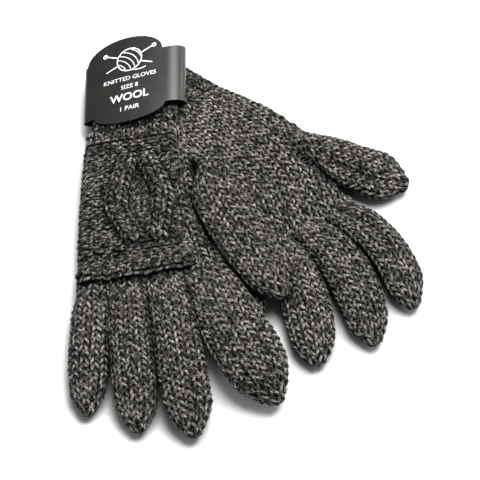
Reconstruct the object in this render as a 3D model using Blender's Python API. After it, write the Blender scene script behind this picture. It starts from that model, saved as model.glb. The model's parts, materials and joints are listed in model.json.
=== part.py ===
"""A pair of hand-knitted five-finger gloves lying together, with a folded card label band.

The right glove lies on top with the back of its hand up. The left glove lies palm up, partly beneath it.
Each glove is a set of knitted tubes: a ribbed cuff, a hand with a thumb gusset, a back panel with a leaf
cable on it, and five digits in two lengths. Sizes are millimetres until `mesh_object` turns them into metres.
World +Z is up, the fingertips point to -Y, and the thumbs point to +X.
"""

import math
from collections import namedtuple

import bmesh
import bpy
from mathutils import Matrix, Vector

MM = 0.001
PAIR_NAME = "knitted_glove_pair"
PAIR_MIDDLE = (5.22, 0.21)  # middle of the pair's plan on the layout used below

WALL = 2.2  # knitted fabric thickness
GAP = 0.4  # clearance left between any two pieces
GUSSET = 27.0  # how far the thumb's gusset reaches into the hand
GUSSET_FLARE = 12.0  # how much wider the gusset is where it leaves the hand
MOUTH = 4.0  # how far a cavity is carried on past an open end
DIGIT_POINTS = 14
SECTION_POWER = 2.6  # squareness of a flattened knitted tube
DIGIT_POWER = 2.3
BOW_POWER = 0.8  # below 1, a bowed digit stands off most before its middle
ROOT_STEPS = (0.0, 0.33, 0.67, 1.0)  # where the hand is divided across each finger root
EDGE_STEPS = (0.0, 0.12, 0.4)  # extra divisions in the outer half of the first and last root

CLOSEST_STEP = 0.012  # finger roots that nearly touch share one division

TIP_SHARE = 0.70  # where a digit starts to close in, in end widths from its tip
TIP_POINT = 0.32  # 0 is a round tip and 1 a pointed one

PANEL_THICKNESS = 1.6
CABLE_THICKNESS = 1.8
CABLE_RIB = 8.0  # width of one cable rib
LEAF_LENGTH = 58.0
LEAF_HALF_WIDTH = 12.0

CARD = 0.5
BAND_HALF_HEIGHT = 20.4
BAND_ARCH_TOP = 13.6
BAND_ARCH_BOTTOM = 8.4
TOP_ARCH_SPAN = (0.02, 0.94)  # shares of the face, from the crease, that the card's arches cover
BOTTOM_ARCH_SPAN = (0.13, 0.98)

Section = namedtuple("Section", "thumb_side little_side low high")
Digit = namedtuple("Digit", "base tip widths low high knuckle droop bow")
Glove = namedtuple("Glove", "side cuff hand root_low digits panel_up tilt")

FINGERS = ("index", "middle", "ring", "little")

# The right glove rests on the left one, so it is built flat and then lifted by a sloping plane:
# height = first + second * x + third * y.
RIGHT = Glove(
    side="right",
    cuff=(
        Section((-41, 122), (-97.0, 112.8), 1.8, 9.0),
        Section((-39.5, 77.5), (-97.5, 68.5), 1.8, 9.8),
    ),
    hand=(
        Section((-36, 76), (-101.0, 67.5), 1.2, 9.2),
        Section((-30, 44), (-103, 37), 0.0, 10.0),
        Section((-25, 10), (-103, 5), 0.0, 10.0),
        Section((-12, -16), (-103, -22), 0.0, 10.5),
    ),
    root_low=0.0,
    digits={
        "index": Digit((-18, -37.8), (23.5, -112.5), (29, 36.5, 29), 0.0, 13.5, 44, 12.4, -2.0),
        "middle": Digit((-43.9, -45.3), (-26.5, -135), (24, 30, 27), 0.0, 13.5, 43, 7.6, 0.2),
        "ring": Digit((-69.0, -47), (-59.5, -130), (23, 26.5, 24), 0.0, 13.0, 40, 4.4, 0.0),
        "little": Digit((-91.7, -47), (-91, -120), (20, 22.5, 19), 0.0, 12.0, 36, 1.8, -0.6),
        "thumb": Digit((-13.7, 20.6), (24.5, -44), (28, 29, 24), 0.4, 12.6, 36, 3.4, 0.0),
    },
    panel_up=True,
    tilt=(16.6, 0.100, 0.048),
)

LEFT = Glove(
    side="left",
    cuff=(
        Section((-39, 129), (-96, 101), 0.0, 8.6),
        Section((-13.5, 111), (-67.5, 75), 1.4, 10.6),
    ),
    hand=(
        Section((-12.5, 110), (-67, 74), 2.6, 11.4),
        Section((18.5, 94.5), (-45, 44), 4.9, 13.9),
        Section((48, 72), (-27, 20), 4.9, 14.0),
        Section((66, 36.5), (-13, 0), 4.9, 14.0),
    ),
    root_low=1.2,
    digits={
        "index": Digit((66, 14.5), (109, -50), (22.6, 25.2, 24), 0.0, 13.0, 36, 0.0, 7.3),
        "middle": Digit((45.5, 3), (83.5, -75.5), (23.2, 28.4, 23), 0.0, 13.0, 41, 0.0, 5.7),
        "ring": Digit((23.5, -6.5), (47.5, -88), (22, 28.5, 24), 0.0, 13.0, 52, 0.0, 3.6),
        "little": Digit((3.5, -11.5), (7.5, -77), (16.5, 19, 16), 0.0, 12.0, 32, 0.0, 0.0),
        "thumb": Digit((71.0, 49.4), (109.5, 35.3), (29, 32, 27), 0.0, 13.0, 14, 0.0, 0.0),
    },
    panel_up=False,
    tilt=(0.0, 0.0, 0.0),
)


def lerp(a, b, t):
    return a + (b - a) * t


def flat(point):
    return Vector((point[0], point[1]))


def heading(digit):
    """Unit direction of a digit, from its root to its tip, seen from above."""
    return (flat(digit.tip) - flat(digit.base)).normalized()


def length(digit):
    return (flat(digit.tip) - flat(digit.base)).length


def bow(digit, s):
    """How far a digit's middle line stands off to the thumb side, s along it from its root."""
    share = min(max(s / length(digit), 0.0), 1.0)
    return digit.bow * math.sin(math.pi * share**BOW_POWER)


def across(direction):
    """The direction at right angles to a heading, towards the thumb side."""
    return Vector((-direction.y, direction.x))


def tilted(glove, point, height):
    """A point of the flat-built glove where it really lies, measured from the middle of the pair."""
    first, by_x, by_y = glove.tilt
    rise = first + by_x * point.x + by_y * point.y
    return Vector((point.x - PAIR_MIDDLE[0], point.y - PAIR_MIDDLE[1], height + rise))


def fabric_profile(u, power=SECTION_POWER):
    """Half thickness of a flattened tube, as a share of the full half, at u from 0 to 1 across it."""
    return (1.0 - abs(2.0 * u - 1.0) ** power) ** (1.0 / power)


# ---------------------------------------------------------------- mesh helpers


def mesh_object(name, vertices, faces, pivot=None):
    """One closed body, its vertices in the frame of its pivot, in metres."""
    mesh = bpy.data.meshes.new(name)
    bm = bmesh.new()
    made = [bm.verts.new(Vector(v) * MM) for v in vertices]
    for face in faces:
        bm.faces.new([made[i] for i in face])
    bmesh.ops.recalc_face_normals(bm, faces=bm.faces)
    if pivot is not None:
        bm.transform(pivot.inverted())
    bm.to_mesh(mesh)
    bm.free()
    return bpy.data.objects.new(name, mesh)


def bridge(first, second, count):
    """Quads between two rings of count vertices that start at those indices."""
    return [
        (first + i, first + (i + 1) % count, second + (i + 1) % count, second + i)
        for i in range(count)
    ]


def strip_cap(first, count):
    """Closes a flattened ring with upright strips, from its top points to the bottom points below them."""
    half = count // 2
    faces = [(first, first + 1, first + count - 1)]
    for i in range(1, half - 1):
        faces.append((first + i, first + i + 1, first + count - i - 1, first + count - i))
    faces.append((first + half - 1, first + half, first + half + 1))
    return faces


def solid_loft(name, rings):
    """A solid through flattened rings that begin at one edge, with both ends closed."""
    count = len(rings[0])
    faces = []
    for i in range(len(rings) - 1):
        faces += bridge(i * count, (i + 1) * count, count)
    for first in (0, (len(rings) - 1) * count):
        faces += strip_cap(first, count)
    return mesh_object(name, [v for ring in rings for v in ring], faces)


def sleeve(name, outer, inner, pivot=None):
    """A tube open at both ends, with the wall between the outer and the inner rings."""
    loop = outer + inner[::-1]
    count = len(loop[0])
    faces = []
    for i in range(len(loop)):
        faces += bridge(i * count, (i + 1) % len(loop) * count, count)
    return mesh_object(name, [v for ring in loop for v in ring], faces, pivot)


def pocket(name, outer, inner, pivot=None):
    """A tube open at its first ring and closed at its last."""
    loop = outer[::-1] + inner
    count = len(loop[0])
    faces = []
    for i in range(len(loop) - 1):
        faces += bridge(i * count, (i + 1) * count, count)
    faces.append(tuple(range(count)))
    faces.append(tuple(range((len(loop) - 1) * count, len(loop) * count)))
    return mesh_object(name, [v for ring in loop for v in ring], faces, pivot)


# ---------------------------------------------------------------- hand and cuff


def root_line(glove, setback=2.2 * GAP):
    """The line across the four finger roots, from the thumb side to the little side."""
    line = []
    for name in FINGERS:
        digit = glove.digits[name]
        way = heading(digit)
        half = across(way) * digit.widths[0] / 2
        centre = flat(digit.base) - way * setback
        line += [centre + half, centre - half]
    return line


def root_fractions(line):
    """Fractions across the hand at which every finger root begins, ends and is divided."""
    reach = [0.0]
    for i in range(len(line) - 1):
        reach.append(reach[-1] + (line[i + 1] - line[i]).length)
    fractions = set()
    for i in range(0, len(line), 2):
        for step in ROOT_STEPS:
            fractions.add(lerp(reach[i], reach[i + 1], step) / reach[-1])
    first, last = reach[1] / reach[-1], reach[-2] / reach[-1]
    for step in EDGE_STEPS:
        fractions.add(first * step / 2)
        fractions.add(1.0 - (1.0 - last) * step / 2)
    kept = []
    for fraction in sorted(fractions):
        if not kept or fraction - kept[-1] > CLOSEST_STEP:
            kept.append(fraction)
    kept[-1] = 1.0
    return kept, [r / reach[-1] for r in reach]


def on_line(line, reach, u):
    """The point at fraction u of a line whose corners lie at the fractions in reach."""
    for i in range(len(line) - 1):
        if u <= reach[i + 1] + 1e-9:
            span = max(reach[i + 1] - reach[i], 1e-9)
            return line[i].lerp(line[i + 1], (u - reach[i]) / span)
    return line[-1]


def hand_lines(glove):
    """Each cross line of the hand as (function from u to a plan point, low, high), wrist first."""
    line = root_line(glove)
    _, reach = root_fractions(line)
    rows = []
    for s in glove.hand:
        start, end = flat(s.thumb_side), flat(s.little_side)
        rows.append((lambda u, a=start, b=end: a.lerp(b, u), s.low, s.high))
    highest = max(glove.digits[name].high for name in FINGERS)
    rows.append((lambda u: on_line(line, reach, u), glove.root_low, highest))
    return rows


def hand_ring(glove, row, fractions, inset=0.0, shift=0.0):
    """One closed ring round the hand, inset by a wall and shifted along the hand."""
    place, low, high = row
    left, right = place(0.0), place(1.0)
    span = (right - left).length
    way = across(left - right).normalized() * shift
    trim = inset / span
    middle, half = (low + high) / 2, (high - low) / 2 - inset
    top, bottom = [], []
    for u in fractions:
        inner_u = lerp(trim, 1.0 - trim, u)
        spot = place(inner_u) - way
        rise = half * fabric_profile(u)
        top.append(tilted(glove, spot, middle + rise))
        bottom.append(tilted(glove, spot, middle - rise))
    return top + bottom[-2:0:-1]


def digit_ring(glove, digit, s, width, low, high, count=DIGIT_POINTS, turn=0.5):
    """One upright ring of a digit, s along it from its root. turn is where it starts, in point steps."""
    way = heading(digit)
    centre = flat(digit.base) + way * s + across(way) * bow(digit, s)
    side = across(way) * width / 2
    middle, half = (low + high) / 2, (high - low) / 2
    ring = []
    for i in range(count):
        angle = 2 * math.pi * (i + turn) / count
        cx, cz = math.cos(angle), math.sin(angle)
        out = math.copysign(abs(cx) ** (2 / DIGIT_POWER), cx)
        rise = math.copysign(abs(cz) ** (2 / DIGIT_POWER), cz)
        ring.append(tilted(glove, centre + side * out, middle + rise * half))
    return ring


def build_hand(glove, cutters):
    """The hand: outer tube and thumb gusset joined, less the cavity of both."""
    line = root_line(glove)
    fractions, _ = root_fractions(line)
    rows = hand_lines(glove)
    thumb = glove.digits["thumb"]
    body = solid_loft(f"{glove.side}_hand", [hand_ring(glove, r, fractions) for r in rows])
    cavity_rings = [hand_ring(glove, rows[0], fractions, WALL, -MOUTH)]
    cavity_rings += [hand_ring(glove, r, fractions, WALL) for r in rows]
    cavity_rings += [hand_ring(glove, rows[-1], fractions, WALL, MOUTH)]
    cavity = solid_loft(f"{glove.side}_hand_cavity", cavity_rings)
    width = thumb.widths[0]
    base_low, base_high = glove.hand[2].low, glove.hand[2].high

    def gusset(name, inset, reach):
        low, high = base_low + inset, base_high - inset
        stations = (
            (-GUSSET, width - 2 * inset + GUSSET_FLARE, low + 1.2, high - 1.2),
            (-GUSSET / 2, width - 2 * inset + GUSSET_FLARE / 2, low + 0.4, high - 0.4),
            (reach, width - 2 * inset, thumb.low + inset, thumb.high - inset),
        )
        rings = [digit_ring(glove, thumb, s, w, lo, hi, 20, 0.0) for s, w, lo, hi in stations]
        return solid_loft(name, rings)

    outer_gusset = gusset(f"{glove.side}_gusset_form", 0.0, -GAP)
    inner_gusset = gusset(f"{glove.side}_gusset_cavity", WALL, MOUTH)
    for form, operation in ((outer_gusset, "UNION"), (cavity, "DIFFERENCE"), (inner_gusset, "DIFFERENCE")):
        cutters.objects.link(form)
        form.hide_render = True
        form.display_type = "WIRE"
        cut = body.modifiers.new(f"{operation.lower()} {form.name}", "BOOLEAN")
        cut.operation = operation
        cut.solver = "MANIFOLD"
        cut.object = form
    return body


def build_cuff(glove, ribs=22, relief=0.45):
    """The wrist tube, with shallow lengthwise ribs all round."""

    def ring(section, inset, bump):
        start, end = flat(section.thumb_side), flat(section.little_side)
        span = (end - start).length
        trim = (inset - bump) / span
        middle = (section.low + section.high) / 2
        half = (section.high - section.low) / 2 - inset + bump
        points = []
        for i in range(2 * ribs):
            angle = math.pi * i / ribs
            lift = relief if i % 2 and inset == 0.0 else 0.0
            out = math.copysign(abs(math.cos(angle)) ** (2 / SECTION_POWER), math.cos(angle))
            rise = math.copysign(abs(math.sin(angle)) ** (2 / SECTION_POWER), math.sin(angle))
            u = lerp(trim, 1.0 - trim, (1.0 + out) / 2)
            points.append(tilted(glove, start.lerp(end, u), middle + rise * (half - lift)))
        return points

    first, last = glove.cuff
    middle = Section(
        flat(first.thumb_side).lerp(flat(last.thumb_side), 0.5),
        flat(first.little_side).lerp(flat(last.little_side), 0.5),
        lerp(first.low, last.low, 0.5),
        lerp(first.high, last.high, 0.5),
    )
    sections = (first, middle, last)
    outer = [ring(s, 0.0, 0.0) for s in sections]
    inner = [ring(s, WALL, 0.0) for s in sections]
    return sleeve(f"{glove.side}_cuff", outer, inner)


# ---------------------------------------------------------------- back panel and leaf cable


def hand_surface(glove, v, u, offset):
    """A point over the back of the hand: v from wrist 0 to roots 1, u across, offset out of the fabric."""
    rows = hand_lines(glove)
    step = min(v, 0.9999) * (len(rows) - 1)
    index = int(step)
    t = step - index
    (place_a, low_a, high_a), (place_b, low_b, high_b) = rows[index], rows[index + 1]
    spot = place_a(u).lerp(place_b(u), t)
    low, high = lerp(low_a, low_b, t), lerp(high_a, high_b, t)
    rise = (high - low) / 2 * fabric_profile(u) + offset
    return tilted(glove, spot, (low + high) / 2 + (rise if glove.panel_up else -rise))


def plate_grid(name, glove, columns, spots, low_offset, high_offset, wrap=False):
    """A thin plate over the hand. spots is a list of rows of (v, u), each with that many columns."""
    rows = len(spots)
    vertices = []
    for offset in (low_offset, high_offset):
        vertices += [hand_surface(glove, v, u, offset) for row in spots for v, u in row]
    layer = rows * columns

    def at(row, column, level):
        return level * layer + (row % rows) * columns + column

    faces = []
    last_row = rows if wrap else rows - 1
    for r in range(last_row):
        for c in range(columns - 1):
            for level in (0, 1):
                faces.append((at(r, c, level), at(r, c + 1, level), at(r + 1, c + 1, level), at(r + 1, c, level)))
        for c in (0, columns - 1):
            faces.append((at(r, c, 0), at(r + 1, c, 0), at(r + 1, c, 1), at(r, c, 1)))
    if not wrap:
        for r in (0, rows - 1):
            for c in range(columns - 1):
                faces.append((at(r, c, 0), at(r, c + 1, 0), at(r, c + 1, 1), at(r, c, 1)))
    return mesh_object(name, vertices, faces)


def build_panel(glove, rows=9, columns=10):
    """The purl-faced panel across the back of the hand."""
    spots = []
    for r in range(rows):
        v = lerp(0.05, 0.90, r / (rows - 1))
        spots.append([(v, lerp(0.17, 0.93, c / (columns - 1))) for c in range(columns)])
    return plate_grid(f"{glove.side}_back_panel", glove, columns, spots, GAP, GAP + PANEL_THICKNESS)


def build_leaf(glove, steps=36):
    """The leaf cable: two ribs that part, bow out and meet again, as one closed loop."""
    hand_length = 128.0
    hand_width = 76.0
    half_length = LEAF_LENGTH / 2
    spots = []
    for i in range(steps):
        angle = 2 * math.pi * i / steps
        along = math.cos(angle)
        bow = math.copysign(abs(math.sin(angle)) ** 1.35, math.sin(angle))
        row = []
        for edge in (-0.5, 0.0, 0.5):
            x = bow * (LEAF_HALF_WIDTH + edge * CABLE_RIB)
            y = along * (half_length + edge * CABLE_RIB * 1.3)
            row.append((0.46 + y / hand_length, 0.54 + x / hand_width))
        spots.append(row)
    low = 2.4 * GAP + PANEL_THICKNESS
    return plate_grid(f"{glove.side}_leaf_cable", glove, 3, spots, low, low + CABLE_THICKNESS, wrap=True)


# ---------------------------------------------------------------- digits


def digit_width(digit, s):
    """Width of a digit, s along it, before its tip is rounded."""
    root, middle, end = digit.widths
    reach = length(digit)
    widest = 0.55 * reach
    if s < widest:
        return lerp(root, middle, math.sin(math.pi / 2 * s / widest))
    return lerp(middle, end, ((s - widest) / (reach - widest)) ** 1.5)


def digit_rings(glove, digit, start, stop, inset):
    """Rings of a digit from start to stop. One that reaches the tip is rounded off."""
    reach = length(digit) - inset
    round_from = reach - digit.widths[2] * TIP_SHARE
    stations = [start + (min(stop, round_from) - start) * t for t in (0.0, 0.35, 0.7, 1.0)]
    if stop > round_from:
        stations += [lerp(round_from, reach, t) for t in (0.45, 0.78, 0.95, 1.0)]
    rings = []
    for s in stations:
        bend = max(0.0, (s - digit.knuckle) / (length(digit) - digit.knuckle))
        drop = digit.droop * bend**2
        q = max(0.0, (s - round_from) / (reach - round_from))
        rounding = math.sqrt(max(1.0 - q * q, 0.0)) * (1.0 - TIP_POINT) + TIP_POINT * (1.0 - q)
        rounding = max(rounding, 0.12)
        width = (digit_width(digit, s) - 2 * inset) * rounding
        half = ((digit.high - digit.low) / 2 - inset) * lerp(1.0, rounding, 0.85)
        middle = (digit.high + digit.low) / 2 - drop
        rings.append(digit_ring(glove, digit, s, width, middle - half, middle + half))
    return rings


def hinge_frame(glove, digit, s):
    """Frame of a digit's hinge: its X runs across the top of the digit, so that +angle lifts the tip."""
    way = heading(digit)
    side = across(way)
    spot = flat(digit.base) + way * s + side * bow(digit, s)
    middle = tilted(glove, spot, digit.high + 0.2)
    axis = (tilted(glove, spot - side, digit.high) - tilted(glove, spot + side, digit.high)).normalized()
    forward = Vector((way.x, way.y, 0.0))
    up = axis.cross(forward).normalized()
    forward = up.cross(axis)
    frame = Matrix((axis, forward, up)).transposed().to_4x4()
    frame.translation = middle * MM
    return frame


def build_digit(glove, name, digit):
    """Lower and upper tube of one digit, with the frames of its two hinges."""
    side, half_gap = glove.side, GAP / 2
    root = hinge_frame(glove, digit, -half_gap)
    knuckle = hinge_frame(glove, digit, digit.knuckle)
    cut = digit.knuckle
    lower = sleeve(
        f"{side}_{name}_lower",
        digit_rings(glove, digit, 0.0, cut - half_gap, 0.0),
        digit_rings(glove, digit, 0.0, cut - half_gap, WALL),
        root,
    )
    upper = pocket(
        f"{side}_{name}_upper",
        digit_rings(glove, digit, cut + half_gap, length(digit), 0.0),
        digit_rings(glove, digit, cut + half_gap, length(digit), WALL),
        knuckle,
    )
    return lower, upper, root, knuckle


# ---------------------------------------------------------------- label band


def band_frame(glove):
    """Where the band sits: its centre, the way across the cuff to the thumb side, and the way to the wrist."""
    first, last = glove.cuff
    top = (flat(first.thumb_side) + flat(first.little_side)) / 2
    bottom = (flat(last.thumb_side) + flat(last.little_side)) / 2
    side = (flat(first.thumb_side) - flat(first.little_side)).normalized()
    return bottom.lerp(top, 0.66), side, (top - bottom).normalized()


def arch(t, span):
    """Height of a half-ellipse arch over a span of the face, from 0 to 1."""
    q = (t - span[0]) / (span[1] - span[0])
    return math.sqrt(max(0.0, 1.0 - (2.0 * q - 1.0) ** 2))


def build_band(glove, pivot, round_steps=9, face_steps=20):
    """The folded card: sharp crease on the little side, rounded turn on the thumb side, arched face."""
    centre, side, along = band_frame(glove)
    left, right = -34.4, 21.4
    turn = 12.2
    low, crease, high = 0.0, 4.4, 14.3
    path = [(left + 4, low, 0.0, 0.0), (left, crease, 0.0, 0.0)]
    for i in range(face_steps + 1):
        t = i / face_steps
        x = lerp(left + 0.6, right, t)
        z = lerp(crease + 1.2, high, math.sin(math.pi / 2 * t) ** 0.6)
        path.append((x, z, arch(t, TOP_ARCH_SPAN), arch(t, BOTTOM_ARCH_SPAN)))
    middle = (low + high) / 2
    for i in range(1, round_steps + 1):
        angle = math.pi * (0.5 - i / round_steps)
        path.append((right + turn * math.cos(angle), middle + (high - middle) * math.sin(angle), 0.0, 0.0))
    outer = [Vector((x, z)) for x, z, _, _ in path]
    count = len(outer)
    rings = [[], [], [], []]
    for i, (x, z, upper, lower) in enumerate(path):
        before, after = outer[i - 1], outer[(i + 1) % count]
        tangent = (after - before).normalized()
        inward = Vector((x, z)) + Vector((tangent.y, -tangent.x)) * CARD
        top = BAND_HALF_HEIGHT + BAND_ARCH_TOP * upper
        bottom = -BAND_HALF_HEIGHT - BAND_ARCH_BOTTOM * lower
        for k, (spot, y) in enumerate(
            ((Vector((x, z)), top), (Vector((x, z)), bottom), (inward, bottom), (inward, top))
        ):
            rings[k].append(tilted(glove, centre + side * spot.x + along * y, spot.y))
    faces = []
    for k in range(4):
        faces += bridge(k * count, (k + 1) % 4 * count, count)
    return mesh_object("label_band", [v for ring in rings for v in ring], faces, pivot)


# ---------------------------------------------------------------- materials and assembly


def material(name, colour, roughness, coat=0.0):
    made = bpy.data.materials.new(name)
    made.use_nodes = True
    shader = made.node_tree.nodes["Principled BSDF"]
    shader.inputs["Base Color"].default_value = (*colour, 1.0)
    shader.inputs["Roughness"].default_value = roughness
    shader.inputs["Coat Weight"].default_value = coat
    made.diffuse_color = (*colour, 1.0)
    return made


def yarn_colour(name):
    """Charcoal marl, a little lighter on the raised pieces."""
    if "leaf" in name:
        return (0.125, 0.128, 0.130)
    if "panel" in name:
        return (0.085, 0.088, 0.090)
    if "cuff" in name:
        return (0.075, 0.078, 0.080)
    return (0.100, 0.103, 0.105)


def finish(piece, parts):
    """Links a piece and gives it its own material."""
    parts.objects.link(piece)
    if piece.name == "label_band":
        made = material("label_band_card", (0.012, 0.012, 0.013), 0.28, 0.5)
    else:
        made = material(f"{piece.name}_yarn", yarn_colour(piece.name), 0.95)
    piece.data.materials.append(made)


def pivot_empty(name, frame, parent, parts):
    """An empty at a joint's frame, under its parent empty."""
    empty = bpy.data.objects.new(name, None)
    empty.empty_display_size = 0.01
    empty.matrix_world = frame
    empty.matrix_basis = frame if parent is None else parent[1].inverted() @ frame
    parts.objects.link(empty)
    if parent is not None:
        empty.parent = parent[0]
    return empty, frame


def build_glove(glove, home, parts, cutters):
    """Every piece of one glove, under the empty of its hand."""
    hand_empty, hand_frame = home
    pieces = [build_hand(glove, cutters), build_cuff(glove), build_panel(glove), build_leaf(glove)]
    for piece in pieces:
        piece.data.transform(hand_frame.inverted())
        finish(piece, parts)
        piece.parent = hand_empty
    for form in [o for o in cutters.objects if o.name.startswith(glove.side)]:
        form.data.transform(hand_frame.inverted())
        form.parent = hand_empty
    for name, digit in glove.digits.items():
        lower, upper, root, knuckle = build_digit(glove, name, digit)
        root_pivot = pivot_empty(f"{glove.side}_{name}_root_pivot", root, home, parts)
        knuckle_pivot = pivot_empty(f"{glove.side}_{name}_knuckle_pivot", knuckle, root_pivot, parts)
        for piece, pivot in ((lower, root_pivot), (upper, knuckle_pivot)):
            finish(piece, parts)
            piece.parent = pivot[0]


def main():
    for old in list(bpy.data.objects):
        bpy.data.objects.remove(old, do_unlink=True)
    parts = bpy.data.collections.new(PAIR_NAME)
    cutters = bpy.data.collections.new("cutters")
    for collection in (parts, cutters):
        bpy.context.scene.collection.children.link(collection)

    ground = pivot_empty("left_glove_home", Matrix.Identity(4), None, parts)
    build_glove(LEFT, ground, parts, cutters)

    lift = Matrix.Identity(4)
    lift.translation = tilted(RIGHT, Vector((-60.0, 20.0)), 0.0) * MM
    raised = pivot_empty("right_glove_lift_pivot", lift, ground, parts)
    build_glove(RIGHT, raised, parts, cutters)

    centre, side, along = band_frame(RIGHT)
    origin = tilted(RIGHT, centre, 7.0)
    way = (tilted(RIGHT, centre + along * 10, 7.0) - origin).normalized()
    across_way = (tilted(RIGHT, centre + side * 10, 7.0) - origin).normalized()
    up = across_way.cross(way).normalized()
    slide = Matrix((way.cross(up), way, up)).transposed().to_4x4()
    slide.translation = origin * MM
    slot = pivot_empty("label_band_slide_pivot", slide, raised, parts)
    band = build_band(RIGHT, slide)
    finish(band, parts)
    band.parent = slot[0]


main()
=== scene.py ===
"""The pair of hand-knitted gloves with its folded card label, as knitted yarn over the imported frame.

Every stitch is real geometry. A knitted surface is a grid of points: rings round a tube, or rows across
a panel. Rows of loops are then laid on it, as one yarn per row with its two plies twisted together.
Shapes are in millimetres until MM turns them into the frame's metres. Materials, stage, lights and
camera are in metres.
"""

import json
import math
from collections import namedtuple

import bpy
import numpy as np
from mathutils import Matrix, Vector


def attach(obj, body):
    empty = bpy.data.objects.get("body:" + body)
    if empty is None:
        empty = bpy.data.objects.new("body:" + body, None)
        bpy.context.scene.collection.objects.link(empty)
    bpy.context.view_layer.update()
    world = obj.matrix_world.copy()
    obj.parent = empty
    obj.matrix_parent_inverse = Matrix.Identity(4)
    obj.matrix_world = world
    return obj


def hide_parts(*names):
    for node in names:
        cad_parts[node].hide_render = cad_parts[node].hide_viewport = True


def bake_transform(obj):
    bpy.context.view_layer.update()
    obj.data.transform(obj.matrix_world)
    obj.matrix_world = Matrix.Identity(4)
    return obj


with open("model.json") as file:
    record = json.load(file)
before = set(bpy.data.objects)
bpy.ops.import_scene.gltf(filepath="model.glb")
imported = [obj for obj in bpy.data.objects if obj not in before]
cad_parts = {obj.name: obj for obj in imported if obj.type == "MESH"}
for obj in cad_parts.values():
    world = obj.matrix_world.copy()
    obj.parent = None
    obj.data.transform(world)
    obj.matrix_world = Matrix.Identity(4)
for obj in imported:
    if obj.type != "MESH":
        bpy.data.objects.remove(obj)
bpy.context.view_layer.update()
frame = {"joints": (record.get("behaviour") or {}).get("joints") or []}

MM = 0.001

# ---------------------------------------------------------------- layout, as in the CAD model

PAIR_MIDDLE = np.array((5.22, 0.21))
SECTION_POWER = 2.6  # of the hand's section: 2 is an ellipse, more is squarer
BOW_POWER = 0.8
TIP_SHARE = 0.70  # length of a rounded fingertip, in widths
TIP_POINT = 0.32  # how pointed a fingertip is, from 0 to 1
FINGERS = ("index", "middle", "ring", "little")

Section = namedtuple("Section", "thumb_side little_side low high")
Digit = namedtuple("Digit", "base tip widths low high knuckle droop bow")
Glove = namedtuple("Glove", "side cuff hand root_low digits panel_up tilt")

RIGHT = Glove(
    side="right",
    cuff=(
        Section((-41, 122), (-97.0, 112.8), 1.8, 9.0),
        Section((-39.5, 77.5), (-97.5, 68.5), 1.8, 9.8),
    ),
    hand=(
        Section((-36, 76), (-101.0, 67.5), 1.2, 9.2),
        Section((-30, 44), (-103, 37), 0.0, 10.0),
        Section((-25, 10), (-103, 5), 0.0, 10.0),
        Section((-12, -16), (-103, -22), 0.0, 10.5),
    ),
    root_low=0.0,
    digits={
        "index": Digit((-18, -37.8), (23.5, -112.5), (29, 36.5, 29), 0.0, 13.5, 44, 12.4, -2.0),
        "middle": Digit((-43.9, -45.3), (-26.5, -135), (24, 30, 27), 0.0, 13.5, 43, 7.6, 0.2),
        "ring": Digit((-69.0, -47), (-59.5, -130), (23, 26.5, 24), 0.0, 13.0, 40, 4.4, 0.0),
        "little": Digit((-91.7, -47), (-91, -120), (20, 22.5, 19), 0.0, 12.0, 36, 1.8, -0.6),
        "thumb": Digit((-13.7, 20.6), (24.5, -44), (28, 29, 24), 0.4, 12.6, 36, 3.4, 0.0),
    },
    panel_up=True,
    tilt=(16.6, 0.100, 0.048),
)

LEFT = Glove(
    side="left",
    cuff=(
        Section((-39, 129), (-96, 101), 0.0, 8.6),
        Section((-13.5, 111), (-67.5, 75), 1.4, 10.6),
    ),
    hand=(
        Section((-12.5, 110), (-67, 74), 2.6, 11.4),
        Section((18.5, 94.5), (-45, 44), 4.9, 13.9),
        Section((48, 72), (-27, 20), 4.9, 14.0),
        Section((66, 36.5), (-13, 0), 4.9, 14.0),
    ),
    root_low=1.2,
    digits={
        "index": Digit((66, 14.5), (109, -50), (22.6, 25.2, 24), 0.0, 13.0, 36, 0.0, 7.3),
        "middle": Digit((45.5, 3), (83.5, -75.5), (23.2, 28.4, 23), 0.0, 13.0, 41, 0.0, 5.7),
        "ring": Digit((23.5, -6.5), (47.5, -88), (22, 28.5, 24), 0.0, 13.0, 52, 0.0, 3.6),
        "little": Digit((3.5, -11.5), (7.5, -77), (16.5, 19, 16), 0.0, 12.0, 32, 0.0, 0.0),
        "thumb": Digit((71.0, 49.4), (109.5, 35.3), (29, 32, 27), 0.0, 13.0, 14, 0.0, 0.0),
    },
    panel_up=False,
    tilt=(0.0, 0.0, 0.0),
)

# ---------------------------------------------------------------- yarn and stitch sizes

STITCH_WIDTH = 5.7
ROW_HEIGHT = 4.1
YARN_RADIUS = 1.22
LOOP_REACH = 0.80  # half height of a loop, in row heights
LOOP_SLANT = 0.27  # how far the legs lean, in stitch widths
LOOP_DEPTH = 0.95  # how far the legs stand in front of the heads
FABRIC_INSET = 2.3  # from the outside of the CAD wall to the middle of the fabric
SHADE_SHEET_INSET = 1.5  # from the middle of the fabric in to the dark sheet behind the stitches, which is painted shade
PLY_PITCH = 6.5  # length of yarn in which its plies turn once
PLY_RELIEF = 0.17
LOOP_TALL_SPREAD = 0.14  # unevenness of the loops' heights
LOOP_LEAN_SPREAD = 0.08  # and of their lean
RIB_REPEAT = 4.0  # stitches in one rib and its furrow
RIB_EDGE = 2.6  # how abruptly a rib turns into its furrow
RIB_RELIEF = 0.55  # how far the ribs stand out
POINTS_PER_STITCH = 14
SIDES = 8
AROUND = 192  # points of a surface grid round a tube
ALONG_STEP = 1.0


def lerp(a, b, t):
    return a + (b - a) * t


def flat(point):
    return np.array(point, float)[:2]


def unit(vector):
    return vector / np.linalg.norm(vector)


def heading(digit):
    return unit(flat(digit.tip) - flat(digit.base))


def length(digit):
    return float(np.linalg.norm(flat(digit.tip) - flat(digit.base)))


def across(direction):
    """At right angles to a heading, towards the thumb side."""
    return np.array((-direction[1], direction[0]))


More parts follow.
